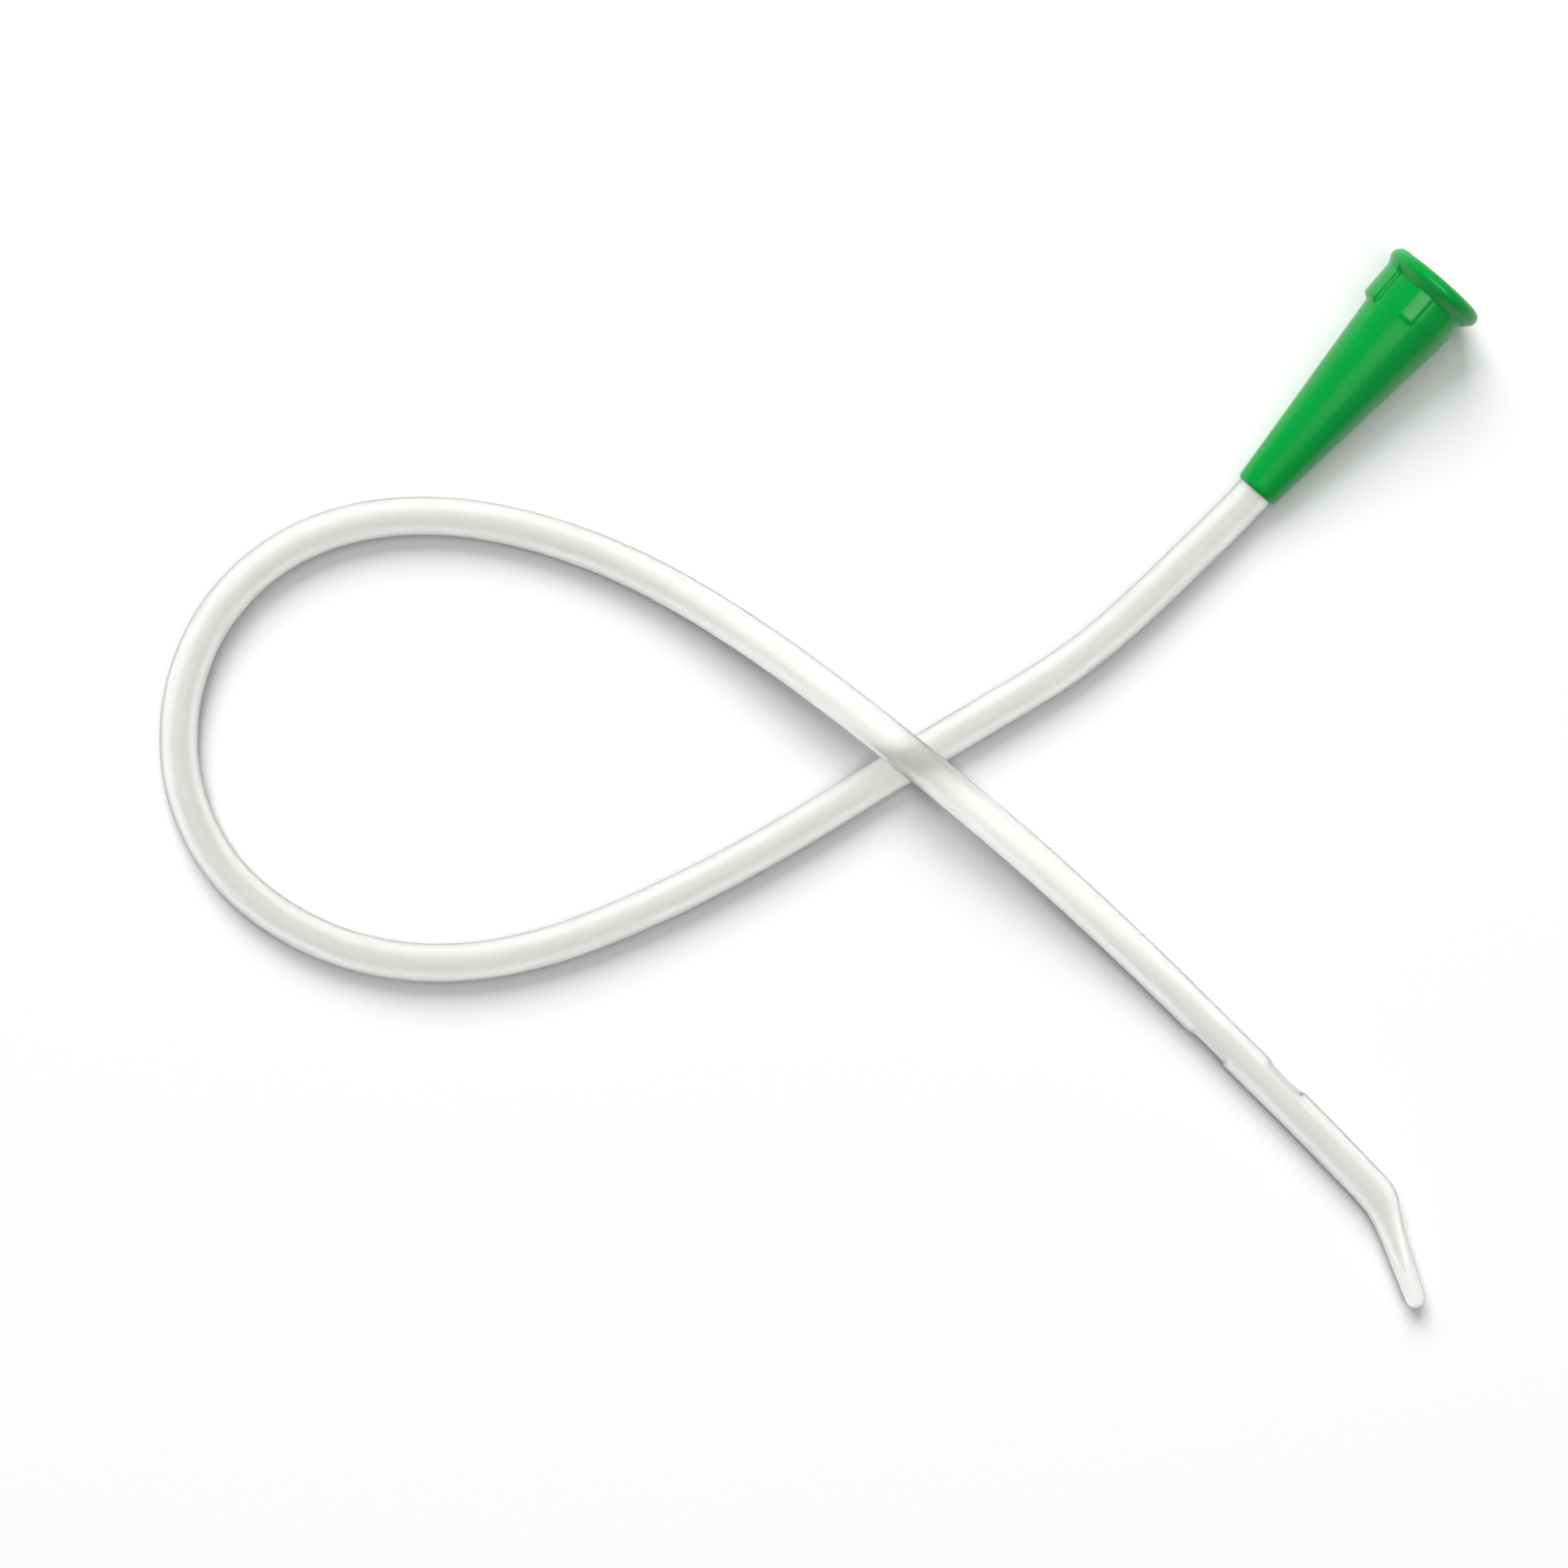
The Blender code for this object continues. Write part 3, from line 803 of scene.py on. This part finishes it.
def raised(size, x, radius, turn):
    """Radius of the funnel's outside with the key and the pad, which blend into the rim."""
    band = size.band / 2
    edge = size.edge
    key_reach = (size.key_half_angle - abs(turn)) * band
    key_share = smooth_step(key_reach / edge + 0.5) * smooth_step((x - size.key_start) / size.key_ramp)
    lift = key_share * soft_positive(band + size.key_height - radius, KEY_BLEND)
    from_pad = turn - math.pi / 2 + size.pad_turn
    across = math.sin(from_pad) * band
    if math.cos(from_pad) > 0 and abs(across) < size.pad_width:
        pad_share = smooth_step((size.pad_width / 2 - abs(across)) / size.pad_edge + 0.5)
        pad_share *= smooth_step((x - size.pad_start) / size.pad_edge)
        lift += pad_share * soft_positive(band + size.pad_height - radius, PAD_BLEND)
    return radius + lift


def funnel_mesh(size, tube_radius):
    """The moulded funnel, turned about its axis, in its resting place."""
    tilt, height = funnel_rest(size)
    axis = Vector((math.cos(tilt), 0.0, math.sin(tilt)))
    up = Vector((-math.sin(tilt), 0.0, math.cos(tilt)))
    start = SMALL_END + Vector((0.0, 0.0, height))
    turns = funnel_turns(size)
    shape = bmesh.new()
    rings = []
    for x, radius in funnel_outside(size, tube_radius):
        outer = [raised(size, x, radius, turn) for turn in turns]
        rings.append((x, outer))
    for x, radius in funnel_inside(size, tube_radius):
        rings.append((x, [radius] * len(turns)))
    placed = []
    for x, radii in rings:
        ring = []
        for turn, radius in zip(turns, radii):
            across = Vector((0, 1, 0)) * math.cos(turn) * radius
            ring.append(shape.verts.new(start + axis * x + across + up * math.sin(turn) * radius))
        placed.append(ring)
    for near, far in zip(placed, placed[1:] + placed[:1]):
        for side in range(len(turns)):
            following = (side + 1) % len(turns)
            shape.faces.new((near[side], near[following], far[following], far[side]))
    bmesh.ops.recalc_face_normals(shape, faces=shape.faces)
    return shape


def new_piece(name, shape, material):
    """A smooth object made from a finished shape."""
    mesh = bpy.data.meshes.new(name)
    shape.to_mesh(mesh)
    shape.free()
    mesh.shade_smooth()
    mesh.materials.append(material)
    piece = bpy.data.objects.new(name, mesh)
    bpy.context.collection.objects.link(piece)
    return piece


def soft_lamp(name, watts, size_x, size_y, place, target):
    """A rectangular lamp at a place, turned to face a point."""
    data = bpy.data.lights.new(name, "AREA")
    data.energy = watts
    data.shape = "RECTANGLE"
    data.size = size_x
    data.size_y = size_y
    lamp = bpy.data.objects.new(name, data)
    bpy.context.collection.objects.link(lamp)
    lamp.location = place
    lamp.rotation_euler = (target - place).to_track_quat("-Z", "Y").to_euler()
    lamp.visible_transmission = False
    return lamp


class CATHETER_OT_tube(bpy.types.Operator):
    """Build the clear drainage tube with its eyes and its bent tip"""

    bl_idname = "catheter.tube"
    bl_label = "Drainage tube"

    def execute(self, context):
        size = context.scene.catheter_tube
        route = ShaftRoute(size, context.scene.catheter_funnel)
        builder = TubeBuilder(size, route)
        tube = new_piece("clear_tube", builder.build(), frosted_tubing(size))
        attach(tube, "root")
        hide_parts("drainage_tube")
        centres = builder.centres
        whole = sum((far - near).length for near, far in zip(centres, centres[1:])) + size.nose / 2
        route.point(0.0)
        return {"FINISHED"}


class CATHETER_OT_funnel(bpy.types.Operator):
    """Build the green moulded funnel with its key and its grip pad"""

    bl_idname = "catheter.funnel"
    bl_label = "Funnel"

    def execute(self, context):
        size = context.scene.catheter_funnel
        shape = funnel_mesh(size, context.scene.catheter_tube.diameter / 2)
        funnel = new_piece("green_funnel", shape, green_moulding(size))
        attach(funnel, "root")
        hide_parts("funnel_connector")
        return {"FINISHED"}


class CATHETER_OT_stage(bpy.types.Operator):
    """Set up the white table, the lamps, the room light and the camera"""

    bl_idname = "catheter.stage"
    bl_label = "Table, lamps and camera"

    def execute(self, context):
        size = context.scene.catheter_stage
        self.table(size)
        self.lamps(size)
        self.room(context.scene, size)
        self.camera(context.scene, size)
        context.scene.view_settings.view_transform = "Standard"
        return {"FINISHED"}

    def table(self, size):
        """The flat white table."""
        shape = bmesh.new()
        bmesh.ops.create_grid(shape, x_segments=4, y_segments=4, size=size.table_size / 2)
        table = new_piece("table", shape, white_table(size))

    def lamps(self, size):
        """The main lamp, which throws the shadow, and a soft one overhead."""
        middle = SMALL_END + PHOTO_CENTRE
        bearing = math.pi / 2 - size.photo_turn + size.key_turn
        level = math.cos(size.key_elevation)
        away = Vector((level * math.cos(bearing), level * math.sin(bearing), math.sin(size.key_elevation)))
        main_place = middle + away * size.key_distance
        main_lamp = soft_lamp("main_lamp", size.key_power, size.key_width, size.key_width, main_place, middle)
        main_lamp.visible_glossy = False
        right = Vector((math.sin(size.photo_turn), -math.cos(size.photo_turn), 0.0))
        below = middle + right * size.top_right
        top_place = below + Vector((0.0, 0.0, size.top_height))
        soft_lamp("top_lamp", size.top_power, size.top_width, size.top_length, top_place, below)

    def room(self, scene, size):
        """Even light all round, white to the camera, and dim walls under a darker ceiling in reflections."""
        world = bpy.data.worlds.new("room")
        world.use_nodes = True
        sheet = Sheet(world.node_tree)
        camera = sheet.add("ShaderNodeLightPath", output="Is Camera Ray")
        glossy = early_ray(sheet, "Is Glossy Ray")
        through = early_ray(sheet, "Is Transmission Ray")
        direction = sheet.add("ShaderNodeTexCoord", output="Generated")
        height = sheet.add("ShaderNodeSeparateXYZ", None, {"Vector": direction}, output="Z")
        walls = glossy * size.walls * (1.0 - size.ceiling * height.or_more(0.0))
        seen = camera.or_more(walls.or_more(through))
        background = sheet.add(
            "ShaderNodeBackground",
            None,
            {"Color": (1.0, 1.0, 1.0, 1.0), "Strength": size.room_light + seen * (1 - size.room_light)},
        )
        sheet.add("ShaderNodeOutputWorld", None, {"Surface": background})
        scene.world = world

    def camera(self, scene, size):
        """The camera, straight over the middle of the photograph."""
        data = bpy.data.cameras.new("camera")
        data.sensor_width = 36.0
        data.lens = data.sensor_width * size.camera_height / size.view_width
        camera = bpy.data.objects.new("camera", data)
        bpy.context.collection.objects.link(camera)
        camera.location = Vector((*(SMALL_END + PHOTO_CENTRE).xy, size.camera_height))
        camera.rotation_euler = (0.0, 0.0, -size.photo_turn)
        scene.camera = camera


class CATHETER_PT_panel(bpy.types.Panel):
    """Lists the catheter's pieces"""

    bl_idname = "CATHETER_PT_panel"
    bl_label = "Coude catheter"
    bl_space_type = "VIEW_3D"
    bl_region_type = "UI"
    bl_category = "Catheter"

    def draw(self, context):
        """One button for each operator."""
        for operator in OPERATORS:
            self.layout.operator(operator.bl_idname)


GROUPS = {"catheter_tube": TubeSettings, "catheter_funnel": FunnelSettings, "catheter_stage": StageSettings}
OPERATORS = (CATHETER_OT_tube, CATHETER_OT_funnel, CATHETER_OT_stage)


def register():
    """Register the settings, the operators and the panel."""
    for name, group in GROUPS.items():
        bpy.utils.register_class(group)
        setattr(bpy.types.Scene, name, PointerProperty(type=group))
    for item in (*OPERATORS, CATHETER_PT_panel):
        bpy.utils.register_class(item)


def unregister():
    """Take everything that register added out again."""
    for item in (CATHETER_PT_panel, *reversed(OPERATORS)):
        bpy.utils.unregister_class(item)
    for name, group in GROUPS.items():
        delattr(bpy.types.Scene, name)
        bpy.utils.unregister_class(group)


def main():
    """Build the whole scene."""
    register()
    bpy.ops.catheter.tube()
    bpy.ops.catheter.funnel()
    bpy.ops.catheter.stage()


if __name__ == "__main__":
    main()
